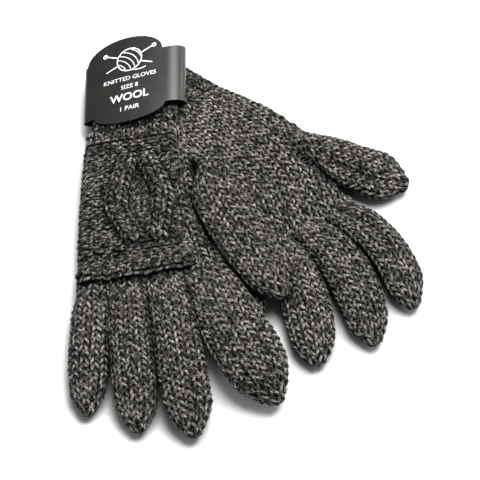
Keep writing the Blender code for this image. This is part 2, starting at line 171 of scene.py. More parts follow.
def bow(digit, s):
    """How far a digit's middle line stands off to the thumb side, s along it from its root."""
    share = min(max(s / length(digit), 0.0), 1.0)
    return digit.bow * math.sin(math.pi * share**BOW_POWER)


def smooth(t):
    t = np.clip(t, 0.0, 1.0)
    return t * t * (3.0 - 2.0 * t)


def place(glove, plan, height):
    """Millimetre points of the flat-laid glove, where they lie in the pair."""
    first, by_x, by_y = glove.tilt
    plan = np.asarray(plan, float)
    rise = first + by_x * plan[..., 0] + by_y * plan[..., 1]
    return np.concatenate([plan - PAIR_MIDDLE, (height + rise)[..., None]], -1)


def fabric_profile(u, power=SECTION_POWER):
    return (1.0 - np.abs(2.0 * u - 1.0) ** power) ** (1.0 / power)


# ---------------------------------------------------------------- surfaces


class Surface:
    """A grid of points, along the knitting first. A closed one joins its last column to its first."""

    def __init__(self, grid, closed=True):
        self.closed = closed
        self.grid = self.evened(np.asarray(grid, float))
        steps = np.linalg.norm(np.diff(self.grid.mean(1), axis=0), axis=1)
        self.along = np.concatenate([[0.0], np.cumsum(steps)])
        self.length = self.along[-1]
        ring = self.ring_steps(self.grid)
        self.girth = ring.sum(1)
        self.normals = self.make_normals()

    def ring_steps(self, grid):
        ahead = np.roll(grid, -1, axis=1) if self.closed else np.concatenate([grid[:, 1:], grid[:, -1:]], 1)
        return np.linalg.norm(ahead - grid, axis=2)

    def evened(self, grid):
        """Each ring walked again at even steps."""
        steps = self.ring_steps(grid)
        out = np.empty_like(grid)
        count = grid.shape[1]
        for k, ring in enumerate(grid):
            if self.closed:
                reach = np.concatenate([[0.0], np.cumsum(steps[k])])
                corners = np.concatenate([ring, ring[:1]])
                want = np.arange(count) / count * reach[-1]
            else:
                reach = np.concatenate([[0.0], np.cumsum(steps[k][:-1])])
                corners = ring
                want = np.linspace(0.0, reach[-1], count)
            for axis in range(3):
                out[k, :, axis] = np.interp(want, reach, corners[:, axis])
        return out

    def make_normals(self):
        if self.closed:
            round_way = np.roll(self.grid, -1, 1) - np.roll(self.grid, 1, 1)
        else:
            round_way = np.gradient(self.grid, axis=1)
        along_way = np.gradient(self.grid, axis=0)
        normals = np.cross(round_way, along_way)
        normals /= np.maximum(np.linalg.norm(normals, axis=2, keepdims=True), 1e-9)
        if self.closed:
            middle = len(self.grid) // 2
            out = self.grid[middle] - self.grid[middle].mean(0)
            if (out * normals[middle]).sum() < 0:
                normals = -normals
        return normals

    def at(self, around, along):
        """Points and normals at fractions round the ring and distances along."""
        rows = np.interp(along, self.along, np.arange(len(self.along)))
        count = self.grid.shape[1]
        columns = around * (count if self.closed else count - 1)
        if not self.closed:
            columns = np.clip(columns, 0.0, count - 1 - 1e-6)
        r0 = np.clip(np.floor(rows).astype(int), 0, len(self.grid) - 2)
        c0 = np.floor(columns).astype(int)
        fr = (rows - r0)[:, None]
        fc = (columns - c0)[:, None]
        c1 = c0 + 1
        if self.closed:
            c0, c1 = c0 % count, c1 % count
        else:
            c1 = np.minimum(c1, count - 1)
        found = []
        for field in (self.grid, self.normals):
            low = lerp(field[r0, c0], field[r0, c1], fc)
            high = lerp(field[r0 + 1, c0], field[r0 + 1, c1], fc)
            found.append(lerp(low, high, fr))
        points, normals = found
        normals /= np.maximum(np.linalg.norm(normals, axis=1, keepdims=True), 1e-9)
        return points, normals

    def girth_at(self, along):
        return float(np.interp(along, self.along, self.girth))


def waves(points, seed, size=1.0, scale=34.0):
    """Slow, even unevenness of handmade cloth, one value per point."""
    random = np.random.default_rng(seed)
    total = np.zeros(len(points))
    for octave in (1.0, 1.9, 3.3):
        for _ in range(3):
            way = unit(random.normal(size=3))
            phase = random.uniform(0, 6.28)
            total += np.sin(points @ way * (2 * math.pi * octave / scale) + phase) / octave
    return total * size / 3.2


# ---------------------------------------------------------------- yarn meshes


def add_object(name, data):
    made = bpy.data.objects.new(name, data)
    bpy.context.scene.collection.objects.link(made)
    return made


def stand_for(piece, solid):
    """Hide the solid that a piece is shown for."""
    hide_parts(solid)
    return piece


def quad_grid(row, next_row, column, next_column, width):
    """The corner numbers of the faces in a grid of points that is width points wide."""
    first, second = row * width, next_row * width
    corners = [first + column, first + next_column, second + next_column, second + column]
    return np.stack(corners, -1)


def corner_map(shape, *pairs):
    """A map's values at the four corners of each face, from pairs that spread over the grid."""
    spread = [np.broadcast_to(value, shape) for pair in pairs for value in pair]
    return np.stack(spread, -1).reshape(-1, 4, 2)


STRIP_GAP = 0.08  # between two strips of a piece's map, in strip heights
STRIP_MARGIN = 0.004  # at the two ends of a strip


class Bundle:
    """Vertices, faces, yarn coordinates and material numbers of one piece, as they build up."""

    def __init__(self):
        self.vertices, self.faces, self.uv, self.strip, self.slots = [], [], [], [], []
        self.count = 0

    def add_grid(self, points, quads, yarn_map, strip_map, slot):
        self.vertices.append(points.reshape(-1, 3))
        self.faces.append(quads.reshape(-1, 4) + self.count)
        self.uv.append(yarn_map)
        self.strip.append(strip_map)
        self.slots.append(np.full(len(yarn_map), slot, np.int32))
        self.count += points.size // 3

    def add_strand(self, path, normals, radius, closed, phase=0.0):
        """One twisted yarn along a path. normals keep its sides from rolling."""
        if closed:
            tangent = np.roll(path, -1, 0) - np.roll(path, 1, 0)
        else:
            tangent = np.gradient(path, axis=0)
        tangent /= np.maximum(np.linalg.norm(tangent, axis=1, keepdims=True), 1e-9)
        side = np.cross(tangent, normals)
        side /= np.maximum(np.linalg.norm(side, axis=1, keepdims=True), 1e-9)
        up = np.cross(side, tangent)
        step = np.linalg.norm(np.roll(path, -1, 0) - path, axis=1)
        reach = np.concatenate([[0.0], np.cumsum(step)])
        count = len(path)
        whole = max(1, round(reach[-1] / PLY_PITCH))
        random = np.random.default_rng(int(phase * 1e4))
        drift = sum(
            random.normal()
            * 0.25
            * np.sin(2 * math.pi * k * reach / reach[-1] + random.uniform(0, 6.28))
            for k in range(2, 2 + len(path) // 40)
        )
        turns = phase + reach * (whole / reach[-1]) + drift
        angle = 2 * math.pi * np.arange(SIDES) / SIDES
        twist = 2 * math.pi * turns[:count, None]
        thick = radius if np.ndim(radius) == 0 else radius[:, None]
        size = thick * (1.0 + PLY_RELIEF * np.cos(2 * (angle[None, :] - twist)))
        ring = (
            path[:, None, :]
            + (size * np.cos(angle))[:, :, None] * side[:, None, :]
            + (size * np.sin(angle))[:, :, None] * up[:, None, :]
        )
        i = np.arange(count if closed else count - 1)[:, None]
        j = np.arange(SIDES)[None, :]
        quads = quad_grid(i, (i + 1) % count, j, (j + 1) % SIDES, SIDES)
        shape = quads.shape[:2]
        t0, t1, v0, v1 = turns[i], turns[i + 1], j / SIDES, (j + 1) / SIDES
        yarn_map = corner_map(shape, (t0, v0), (t0, v1), (t1, v1), (t1, v0))
        a0, a1 = i / count, (i + 1) / count
        strip_map = corner_map(shape, (a0, v0), (a0, v1), (a1, v1), (a1, v0))
        self.add_grid(ring, quads, yarn_map, strip_map, 0)

    def add_sheet(self, grid, closed):
        """A plain dark sheet behind the stitches: painted shade that closes the view between them."""
        rows, columns = grid.shape[:2]
        r = np.arange(rows - 1)[:, None]
        c = np.arange(columns if closed else columns - 1)[None, :]
        quads = quad_grid(r, r + 1, c, (c + 1) % columns, columns)
        u0, u1, v0, v1 = c / columns, (c + 1) / columns, r / rows, (r + 1) / rows
        flat_map = corner_map(quads.shape[:2], (u0, v0), (u1, v0), (u1, v1), (u0, v1))
        self.add_grid(grid, quads, flat_map, flat_map, 1)

    def make(self, name, materials):
        vertices = np.concatenate(self.vertices) * MM
        faces = np.concatenate(self.faces).astype(np.int32)
        mesh = bpy.data.meshes.new(name)
        mesh.vertices.add(len(vertices))
        mesh.vertices.foreach_set("co", vertices.astype(np.float32).ravel())
        mesh.loops.add(faces.size)
        mesh.loops.foreach_set("vertex_index", faces.ravel())
        mesh.polygons.add(len(faces))
        mesh.polygons.foreach_set("loop_start", np.arange(0, faces.size, 4, dtype=np.int32))
        mesh.polygons.foreach_set("material_index", np.concatenate(self.slots))
        for material in materials:
            mesh.materials.append(material)
        yarn_map = mesh.uv_layers.new(name="yarn")
        yarn_map.data.foreach_set("uv", np.concatenate(self.uv).astype(np.float32).ravel())
        laid_out = self.strip_map()
        strip_map = mesh.uv_layers.new(name="OFBake")
        strip_map.data.foreach_set("uv", laid_out.astype(np.float32).ravel())
        mesh.update()
        mesh.validate()
        mesh.shade_smooth()
        return add_object(name, mesh)

    def strip_map(self):
        """Every strand in a strip of its own, so that a map of the piece wastes little."""
        total = len(self.strip)
        gap = STRIP_GAP / total
        out = []
        for index, corners in enumerate(self.strip):
            laid = corners.copy()
            laid[..., 0] = STRIP_MARGIN + (1.0 - 2 * STRIP_MARGIN) * corners[..., 0]
            laid[..., 1] = index / total + gap + corners[..., 1] * (1.0 / total - 2 * gap)
            out.append(laid)
        return np.concatenate(out)


def stitch_sign(kind, stitch):
    """+1 where the knit side faces out and -1 where the purl side does, one value per point."""
    if kind == "knit":
        return np.ones_like(stitch)
    if kind == "purl":
        return -np.ones_like(stitch)
    wave = np.sin(2 * math.pi * stitch / RIB_REPEAT)
    return np.clip(wave * RIB_EDGE, -1.0, 1.0)


def lay_row(bundle, surface, along, stitches, kind, options):
    """One row of loops round or across a surface."""
    closed = surface.closed
    radius = options.get("radius", YARN_RADIUS)
    depth = options.get("depth", LOOP_DEPTH)
    row_height = options.get("row_height", ROW_HEIGHT)
    seed = options["seed"]
    count = stitches * POINTS_PER_STITCH
    t = np.arange(count) / POINTS_PER_STITCH if closed else np.linspace(0.0, stitches, count + 1)
    angle = 2 * math.pi * t
    random = np.random.default_rng(seed * 7919 + int(along * 97) + stitches)
    loops = np.arange(stitches + 2)
    tall = 1.0 + LOOP_TALL_SPREAD * random.standard_normal(len(loops))
    lean = LOOP_LEAN_SPREAD * random.standard_normal(len(loops))
    which = np.floor(t).astype(int) % len(loops)
    fade = np.sin(np.pi * (t % 1.0)) ** 2
    around = (t + LOOP_SLANT * np.sin(2 * angle) + lean[which] * fade) / stitches
    reach = -LOOP_REACH * row_height * np.cos(angle) * lerp(1.0, tall[which], fade)
    sign = stitch_sign(kind, t)
    out = -depth * sign * np.cos(2 * angle)
    if kind == "rib":
        out += RIB_RELIEF * sign
    spot, normals = surface.at(around, np.clip(along + reach, 0.0, surface.length))
    over = along + reach - surface.length
    spot = spot + normals * (out - np.maximum(over, 0.0) * 0.5)[:, None]
    spot += normals * waves(spot, seed, options.get("wave", 0.35))[:, None]
    thick = radius * np.ones(len(t))
    if not closed:
        ends = np.minimum(t, stitches - t)
        thick = radius * lerp(0.35, 1.0, smooth(ends / 0.25))
    bundle.add_strand(spot, normals, thick, closed, random.uniform(0.0, 40.0))


def lay_fabric(bundle, surface, start, stop, stitches, kind="knit", **options):
    """Rows of loops from start to stop along a surface, with fewer stitches where it closes in."""
    pitch = options.get("row_height", ROW_HEIGHT)
    rows = max(1, round((stop - start) / pitch))
    for i in range(rows):
        along = start + (i + 0.5) * (stop - start) / rows
        room = surface.girth_at(along) / STITCH_WIDTH
        here = stitches
        if room < 0.72 * stitches:
            here = max(4, round(room))
        lay_row(bundle, surface, along, here, kind, options)


def shade_sheet_grid(surface, start, stop, inset, step=3, skip=4):
    """The surface between two distances along it, drawn in, for the dark sheet of painted shade behind the
    stitches.
    """
    inside = (surface.along >= start - 1e-6) & (surface.along <= stop + 1e-6)
    rows = np.flatnonzero(inside)
    keep = np.unique(np.append(rows[::step], rows[-1]))
    grid = surface.grid[keep] - surface.normals[keep] * inset
    return grid[:, ::skip]


# ---------------------------------------------------------------- glove shapes


def root_line(glove, setback=0.8):
    line = []
    for name in FINGERS:
        digit = glove.digits[name]
        way = heading(digit)
        half = across(way) * digit.widths[0] / 2
        centre = flat(digit.base) - way * setback
        line += [centre + half, centre - half]
    return np.array(line)


def line_reach(line):
    steps = np.linalg.norm(np.diff(line, axis=0), axis=1)
    reach = np.concatenate([[0.0], np.cumsum(steps)])
    return reach / reach[-1]


def finger_lobes(reach, u):
    """Shape across the finger roots: full over each finger and low between two."""
    value = np.zeros_like(u)
    for i in range(0, len(reach), 2):
        share = np.clip((u - reach[i]) / (reach[i + 1] - reach[i]), 0.0, 1.0)
        value = np.maximum(value, fabric_profile(share, 2.2))
    return value


def hand_surface(glove, inset=FABRIC_INSET):
    """The hand as a closed tube, from the cuff to the finger roots."""
    line = root_line(glove)
    reach = line_reach(line)
    half_ring = np.linspace(0.0, 1.0, AROUND // 2 + 1)
    u = (1.0 - np.cos(np.pi * half_ring)) / 2
    rows, heights = [], []
    for s in glove.hand:
        start, end = flat(s.thumb_side), flat(s.little_side)
        rows.append(start[None, :] + (end - start)[None, :] * u[:, None])
        heights.append((s.low, s.high))
    roots = np.stack([np.interp(u, reach, line[:, axis]) for axis in (0, 1)], -1)
    rows.append(roots)
    heights.append((glove.root_low, max(glove.digits[n].high for n in FINGERS)))
    rows, heights = np.array(rows), np.array(heights)
    stops = np.linspace(0.0, 1.0, len(rows))
    fine = np.linspace(0.0, 1.0, 130)
    plan = np.stack(
        [
            np.stack([np.interp(fine, stops, rows[:, i, axis]) for i in range(len(u))], -1)
            for axis in (0, 1)
        ],
        -1,
    )
    level = np.stack([np.interp(fine, stops, heights[:, i]) for i in (0, 1)], -1)
    plan, level = softened(plan, 14), softened(level, 14)
    lobes = finger_lobes(reach, u)
    grid = []
    for k, v in enumerate(fine):
        low, high = level[k]
        span = np.linalg.norm(plan[k, -1] - plan[k, 0])
        trim = inset / span
        spot = plan[k] + (plan[k].mean(0) - plan[k]) * 2 * trim * np.abs(2 * u - 1)[:, None]
        body = fabric_profile(u)
        shape = lerp(body, np.maximum(lobes, 0.4 * body), smooth((v - 0.7) / 0.3))
        half = ((high - low) / 2 - inset) * shape
        middle = (low + high) / 2
        under = 1.3 * smooth((v - 0.88) / 0.08)  # the finger tubes cover the end of the hand
        top = place(glove, spot, middle + half - under - creasing(glove, spot))
        bottom = place(glove, spot, middle - half)
        grid.append(np.concatenate([top, bottom[-2:0:-1]]))
    return Surface(grid)


def creasing(glove, spots):
    """How deep the crease beside the thumb is at some places in the hand."""
    start, end, depth = CREASE[glove.side]
    start, way = np.array(start), np.array(end) - np.array(start)
    share = (spots - start) @ way / (way @ way)
    nearest = start + np.clip(share, 0.0, 1.0)[:, None] * way
    apart = np.linalg.norm(spots - nearest, axis=1)
    return depth * np.exp(-((apart / CREASE_WIDTH) ** 2)) * smooth((share + 0.3) / 0.6)


def softened(values, reach):
    """Values along the first axis with their corners rounded, ends kept."""
    kernel = np.exp(-0.5 * (np.arange(-reach, reach + 1) / (reach / 2)) ** 2)
    kernel /= kernel.sum()
    flat_values = values.reshape(len(values), -1)
    out = np.empty_like(flat_values)
    for i in range(flat_values.shape[1]):
        column = flat_values[:, i]
        padded = np.concatenate(
            [2 * column[0] - column[reach:0:-1], column, 2 * column[-1] - column[-2 : -reach - 2 : -1]]
        )
        out[:, i] = np.convolve(padded, kernel, "valid")
    return out.reshape(values.shape)


def cuff_surface(glove, inset=1.9):
    half_ring = np.linspace(0.0, 1.0, AROUND // 2 + 1)
    u = (1.0 - np.cos(np.pi * half_ring)) / 2
    first, last = glove.cuff
    grid = []
    for t in np.linspace(0.0, 1.0, 48):
        start = lerp(flat(first.thumb_side), flat(last.thumb_side), t)
        end = lerp(flat(first.little_side), flat(last.little_side), t)
        low, high = lerp(first.low, last.low, t), lerp(first.high, last.high, t)
        span = np.linalg.norm(end - start)
        inner = lerp(inset / span, 1.0 - inset / span, u)
        spot = start[None, :] + (end - start)[None, :] * inner[:, None]
        half = ((high - low) / 2 - inset) * fabric_profile(u)
        top = place(glove, spot, (low + high) / 2 + half)
        bottom = place(glove, spot, (low + high) / 2 - half)
        grid.append(np.concatenate([top, bottom[-2:0:-1]]))
    return Surface(grid)


def digit_width(digit, s):
    root, middle, end = digit.widths
    widest = 0.55 * length(digit)
    if s < widest:
        return lerp(root, middle, math.sin(math.pi / 2 * max(s, 0.0) / widest))
    return lerp(middle, end, ((s - widest) / (length(digit) - widest)) ** 1.5)


GUSSET_REACH = {"left": 64.0, "right": 50.0}  # how far the visible thumb tube runs back inside the hand
THUMB_PROUD = {"left": 5.2, "right": 1.6}  # how far the thumb's base stands over the palm beside it
GUSSET_DRAWN_IN = {"left": 2.0, "right": 13.0}  # how far the start of that tube lies from the edge
PLUMP = 1.2  # how much further out than the CAD wall a soft finger swells at its widest
PUFF = 4.4  # how much higher than the CAD wall a soft finger stands
ROUNDNESS = 1.85  # of the soft tubes' sections: a little sharper than an ellipse
# The crease in the hand beside the thumb: its two ends and its depth.
CREASE = {"left": ((33.0, 61.0), (67.0, 32.0), 5.5), "right": ((-33.0, 24.0), (-16.0, -10.0), 3.0)}
CREASE_WIDTH = 4.2

# How the soft tubes lie against their solids: wider, further to the thumb side, longer (mm).
SETTLED = {
    "right_thumb": (3.6, -2.2, 5.0),
    "right_index": (3.0, -0.5, 0.0),
    "right_middle": (-0.8, 0.0, -2.0),
    "right_ring": (-0.2, 0.0, 0.0),
    "right_little": (1.8, 0.8, -1.0),
    "left_thumb": (1.6, -0.6, 0.0),
    "left_index": (0.0, 0.6, 0.0),
    "left_middle": (1.4, 1.2, -1.0),
    "left_ring": (2.2, 1.2, 0.0),
    "left_little": (0.0, 0.0, 0.0),
}
# A lengthwise fold in the palm side of a digit: its place across the width and its depth.
FOLDS = {"left_thumb": (-0.20, 4.5), "left_index": (0.0, 3.6), "left_middle": (0.12, 2.2)}
ROOT_REACH = 15.0  # how far the tubes of the fingers run back inside the hand


def gusset_offsets(glove, digit, s, reach):
    """The thumb tube's two side edges, across its heading, at s before its root."""
    share = smooth(-s / reach)
    half = digit.widths[0] / 2
    far = half + 1.5 * math.sin(math.pi * share) - GUSSET_DRAWN_IN[glove.side] * share
    return min(-half * (1.0 - 2.0 * share), far - 9.0), far


def digit_surface(glove, name, inset=FABRIC_INSET):
    """One digit as a closed tube. It starts inside the hand, and its tip is drawn together."""
    digit = glove.digits[name]
    way = heading(digit)
    side = across(way)
    before = GUSSET_REACH[glove.side] if name == "thumb" else ROOT_REACH
    extra_width, extra_bow, extra_length = SETTLED[f"{glove.side}_{name}"]
    reach = length(digit) - inset + 0.9 + extra_length
    round_from = reach - digit.widths[2] * TIP_SHARE * 0.94
    angle = 2 * math.pi * np.arange(AROUND) / AROUND
    out = np.sign(np.cos(angle)) * np.abs(np.cos(angle)) ** (2 / ROUNDNESS)
    up = np.sign(np.sin(angle)) * np.abs(np.sin(angle)) ** (2 / ROUNDNESS)
    base_low, base_high = glove.hand[2].low, glove.hand[2].high
    lead = 25.0 if name == "thumb" else 0.0
    fold_at, fold_depth = FOLDS.get(f"{glove.side}_{name}", (0.0, 0.0))
    grid = []
    for s in np.arange(-before, reach + 0.4, ALONG_STEP):
        s = min(s, reach - 0.02)
        bend = max(0.0, (s - digit.knuckle) / (length(digit) - digit.knuckle))
        q = max(0.0, (s - round_from) / (reach - round_from))
        rounding = math.sqrt(max(1.0 - q * q, 0.0)) * (1.0 - TIP_POINT) + TIP_POINT * (1.0 - q)
        rounding = max(rounding, 0.10)
        near_root = math.exp(-(((s - 9.0) / 13.0) ** 2)) if name != "thumb" else 0.0
        settle = math.sin(math.pi * min(max((s + lead) / (reach + lead), 0.0), 1.0)) ** 0.7
        width = digit_width(digit, s) - 2 * inset + (2 * PLUMP + extra_width) * settle + 2.2 * near_root
        low, high = digit.low, digit.high + PUFF * settle
        middle_line = bow(digit, s) + extra_bow * settle
        if name != "thumb" and s < 0:
            share = smooth(-s / before)
            low, high = low + 3.0 * share, high - 3.0 * share
            width -= 2.4 * share
        if name == "thumb" and s < 0:
            share = smooth(-s / before)
            near, far = gusset_offsets(glove, digit, s, before)
            width = far - near - 2 * inset + (2 * PLUMP + extra_width) * settle * (1.0 - share)
            middle_line = (near + far) / 2 + extra_bow * settle * (1.0 - share)
            low, high = lerp(low, base_low + 1.2, share), lerp(high, base_high - 1.2, share)
            sunk = smooth((-s / before - 0.6) / 0.4)
            low = lerp(low, (base_low + base_high) / 2 - inset - 1.0, sunk)
            high = lerp(high, (base_low + base_high) / 2 + inset + 1.0, sunk)
        if name == "thumb":
            high += THUMB_PROUD[glove.side] * math.sin(math.pi * min(1.0, max(0.0, 0.20 - s / 45.0)))
        half = ((high - low) / 2 - inset) * lerp(1.0, rounding, 0.85)
        middle = (low + high) / 2 - digit.droop * bend**2
        centre = flat(digit.base) + way * s + side * middle_line
        offsets = out * width / 2 * rounding
        fold = np.exp(-(((offsets - fold_at * width) / 3.2) ** 2)) * np.maximum(up, 0.0)
        fold = fold * fold_depth * smooth((s + 35.0) / 25.0) * (1.0 - smooth((s / reach - 0.45) / 0.4))
        spot = centre[None, :] + side[None, :] * offsets[:, None]
        grid.append(place(glove, spot, middle + up * half - fold))
    return Surface(grid), before


def back_point(glove, surface, v, u, lift):
    """Points over the back of the hand: v along it from 0 to 1, u across from the thumb side."""
    v, u = np.asarray(v, float), np.asarray(u, float)
    around = u / 2 if glove.panel_up else 1.0 - u / 2
    spot, normals = surface.at(around.ravel() % 1.0, v.ravel() * surface.length)
    spot = spot + normals * np.broadcast_to(lift, v.shape).ravel()[:, None]
    return spot.reshape(*v.shape, 3), normals.reshape(*v.shape, 3)


# ---------------------------------------------------------------- materials


def node(tree, kind, **values):
    made = tree.nodes.new(kind)
    for key, value in values.items():
        setattr(made, key, value)
    return made


def math_node(tree, operation, first, second=None):
    """A math node on sockets or numbers. Gives its output."""
    made = node(tree, "ShaderNodeMath", operation=operation)
    for place_in, value in zip(made.inputs, (first, second)):
        if isinstance(value, bpy.types.NodeSocket):
            tree.links.new(value, place_in)
        elif value is not None:
            place_in.default_value = value
    return made.outputs[0]


def noise_node(tree, vector, scale, detail, roughness):
    made = node(tree, "ShaderNodeTexNoise")
    made.inputs["Scale"].default_value = scale
    made.inputs["Detail"].default_value = detail
    made.inputs["Roughness"].default_value = roughness
    tree.links.new(vector, made.inputs["Vector"])
    return made.outputs["Fac"]


def new_material(name):
    """A material, its node tree and its shader."""
    material = bpy.data.materials.new(name)
    material.use_nodes = True
    return material, material.node_tree, material.node_tree.nodes["Principled BSDF"]


def add_bump(tree, shader, height, strength, distance):
    bump = node(tree, "ShaderNodeBump")
    bump.inputs["Strength"].default_value = strength
    bump.inputs["Distance"].default_value = distance
    tree.links.new(height, bump.inputs["Height"])
    tree.links.new(bump.outputs["Normal"], shader.inputs["Normal"])


DARK_PLY = (0.0045, 0.0042, 0.0038)
MIDDLE_GREY = (0.060, 0.057, 0.052)
LIGHT_PLY = (0.51, 0.48, 0.44)
FLECK_WEIGHT = 1.75
PLY_WEIGHT = 0.10
PATCH_WEIGHT = 0.25
FIBRE_WEIGHT = 0.45
PAINTED_CREVICE_SHADE_REACH = 0.008  # metres over which yarn near other yarn is darkened in its colour: painted crevice shade
# how strongly the painted crevice shade darkens the colour
PAINTED_CREVICE_SHADE_DEPTH = 2.4


def yarn_material(name, lightness):
    """Two-ply marl: a charcoal ply and a flecked grey one turning round each other, darkened with painted
    shade on the yarn's sides and in its crevices.
    """
    material, tree, shader = new_material(name)
    link = tree.links.new
    shader.inputs["Roughness"].default_value = 0.92
    shader.inputs["Sheen Weight"].default_value = 0.01
    shader.inputs["Sheen Roughness"].default_value = 0.5
    shader.inputs["Specular IOR Level"].default_value = 0.03
    coordinates = node(tree, "ShaderNodeUVMap", uv_map="yarn")
    split = node(tree, "ShaderNodeSeparateXYZ")
    link(coordinates.outputs["UV"], split.inputs[0])
    turn = math_node(tree, "SUBTRACT", split.outputs["Y"], split.outputs["X"])
    full = math_node(tree, "MULTIPLY", turn, 2 * math.pi)
    ply = math_node(tree, "COSINE", full)
    # A space that is long along the plies and closes round the yarn.
    fibre_space = node(tree, "ShaderNodeCombineXYZ")
    link(math_node(tree, "MULTIPLY", split.outputs["X"], 1.5), fibre_space.inputs[0])
    link(ply, fibre_space.inputs[1])
    link(math_node(tree, "SINE", full), fibre_space.inputs[2])
    flecks = noise_node(tree, fibre_space.outputs[0], 3.1, 3.0, 0.70)
    fibres = noise_node(tree, fibre_space.outputs[0], 7.0, 2.0, 0.6)
    object_space = node(tree, "ShaderNodeTexCoord").outputs["Object"]
    patches = noise_node(tree, object_space, 120.0, 2.0, 0.6)
    mixed = math_node(tree, "MULTIPLY", flecks, FLECK_WEIGHT)
    mixed = math_node(tree, "ADD", mixed, math_node(tree, "MULTIPLY", ply, PLY_WEIGHT))
    mixed = math_node(tree, "ADD", mixed, math_node(tree, "MULTIPLY", patches, PATCH_WEIGHT))
    mixed = math_node(tree, "ADD", mixed, math_node(tree, "MULTIPLY", fibres, FIBRE_WEIGHT))
    ramp = node(tree, "ShaderNodeValToRGB")
    link(math_node(tree, "ADD", mixed, lightness), ramp.inputs["Fac"])
    stops = ramp.color_ramp.elements
    stops[0].position, stops[0].color = 0.32, (*DARK_PLY, 1.0)
    stops[1].position, stops[1].color = 0.80, (*LIGHT_PLY, 1.0)
    middle = stops.new(0.58)
    middle.color = (*MIDDLE_GREY, 1.0)
    # Painted shade: the sides and the back of the yarn are darkened in its colour, as they lie in the shade
    # of the yarns beside it.
    facing = math_node(tree, "SINE", math_node(tree, "MULTIPLY", split.outputs["Y"], 2 * math.pi))
    shade = node(tree, "ShaderNodeMapRange", interpolation_type="SMOOTHSTEP")
    shade.inputs["From Min"].default_value = -0.35
    shade.inputs["From Max"].default_value = 0.85
    shade.inputs["To Min"].default_value = 0.03
    link(facing, shade.inputs["Value"])
    # Painted crevice shade: the colour is darkened where other yarn is near.
    crevice = node(tree, "ShaderNodeAmbientOcclusion", samples=6)
    crevice.inputs["Distance"].default_value = PAINTED_CREVICE_SHADE_REACH
    painted_crevice_shade = math_node(tree, "POWER", crevice.outputs["AO"], PAINTED_CREVICE_SHADE_DEPTH)
    painted_shade = math_node(tree, "MULTIPLY", shade.outputs["Result"], painted_crevice_shade)
    final = node(tree, "ShaderNodeMix", data_type="RGBA", blend_type="MULTIPLY")
    final.inputs[0].default_value = 1.0
    link(ramp.outputs["Color"], final.inputs[6])
    link(painted_shade, final.inputs[7])
    link(final.outputs[2], shader.inputs["Base Color"])
    add_bump(tree, shader, fibres, 0.6, 0.0004)
    return material


def mottle(tree, shader, scale, first, second, detail=2.0):
    """Noise that mixes two colours into the shader's base colour. Gives the noise."""
    noise = noise_node(tree, node(tree, "ShaderNodeTexCoord").outputs["Object"], scale, detail, 0.5)
    colour = node(tree, "ShaderNodeMix", data_type="RGBA")
    colour.inputs[6].default_value = (*first, 1.0)
    colour.inputs[7].default_value = (*second, 1.0)
    tree.links.new(noise, colour.inputs[0])
    tree.links.new(colour.outputs[2], shader.inputs["Base Color"])
    return noise


def shade_sheet_material():
    """A dark sheet of painted shade behind the stitches, in place of the shade between them."""
    material, tree, shader = new_material("painted_shade_sheet")
    shader.inputs["Roughness"].default_value = 1.0
    mottle(tree, shader, 300.0, (0.008, 0.0082, 0.0085), (0.035, 0.035, 0.036))
    return material


def card_material():
    """Black semi-gloss card with faint mottle and scuffs."""
    material, tree, shader = new_material("label_card")
    noise = mottle(tree, shader, 90.0, (0.0068, 0.0058, 0.0050), (0.0155, 0.0135, 0.0115), 6.0)
    rough = node(tree, "ShaderNodeMapRange")
    rough.inputs["To Min"].default_value = 0.32
    rough.inputs["To Max"].default_value = 0.46
    tree.links.new(noise, rough.inputs["Value"])
    tree.links.new(rough.outputs["Result"], shader.inputs["Roughness"])
    shader.inputs["Specular IOR Level"].default_value = 0.40
    add_bump(tree, shader, noise, 0.12, 0.0002)
    return material


def ink_material():
    """White print, slightly uneven."""
    material, tree, shader = new_material("label_ink")
    shader.inputs["Roughness"].default_value = 0.45
    mottle(tree, shader, 700.0, (0.62, 0.62, 0.61), (0.92, 0.92, 0.91))
    return material


SHADED_WORKED_LIGHTNESS = -0.755  # painted shade: the same yarn made a little darker where the loops stand up and catch more light
PLAIN = yarn_material("plain_marl_yarn", -0.715)
RIBBED, PURLED, CABLED = (
    yarn_material(f"{kind}_marl_yarn", SHADED_WORKED_LIGHTNESS) for kind in ("rib", "purl", "cable")
)
# The dark sheet behind the stitches is painted shade.
SHADE_SHEET = shade_sheet_material()

# ---------------------------------------------------------------- knitted pieces


def hand_stitches(surface):
    return 2 * round(surface.girth[len(surface.girth) // 3] / STITCH_WIDTH / 2)


def knit_hand(glove, surface):
    bundle = Bundle()
    lay_fabric(bundle, surface, 0.0, surface.length - 1.0, hand_stitches(surface), seed=11)
    bundle.add_sheet(shade_sheet_grid(surface, 0.0, surface.length, SHADE_SHEET_INSET), True)
    piece = bundle.make(f"{glove.side}_hand_knit", (PLAIN, SHADE_SHEET))
    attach(stand_for(piece, f"{glove.side}_hand"), f"{glove.side}_glove")


def knit_cuff(glove):
    surface = cuff_surface(glove)
    bundle = Bundle()
    stitches = 4 * round(surface.girth.mean() / (STITCH_WIDTH * 0.86) / 4)
    end = surface.length + 0.6
    thin = {"depth": 0.62, "radius": 1.05, "wave": 0.15}
    lay_fabric(bundle, surface, 0.6, end, stitches, "rib", seed=5, **thin)
    bundle.add_sheet(shade_sheet_grid(surface, 1.0, surface.length, 0.9), True)
    piece = bundle.make(f"{glove.side}_cuff_knit", (RIBBED, SHADE_SHEET))
    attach(stand_for(piece, f"{glove.side}_cuff"), f"{glove.side}_glove")


PANEL_END = (0.880, 0.912)  # where the panel ends along the hand: thumb side, little finger side
PANEL_START = 0.085
HAND_WIDTH = 74.0
LEAF_MIDDLE = (0.45, 0.475)
LEAF_HALF = 30.0
LEAF_BOW = 8.8
LEAF_CLOSE = 5.9
RIB_WIDTH = 12.4


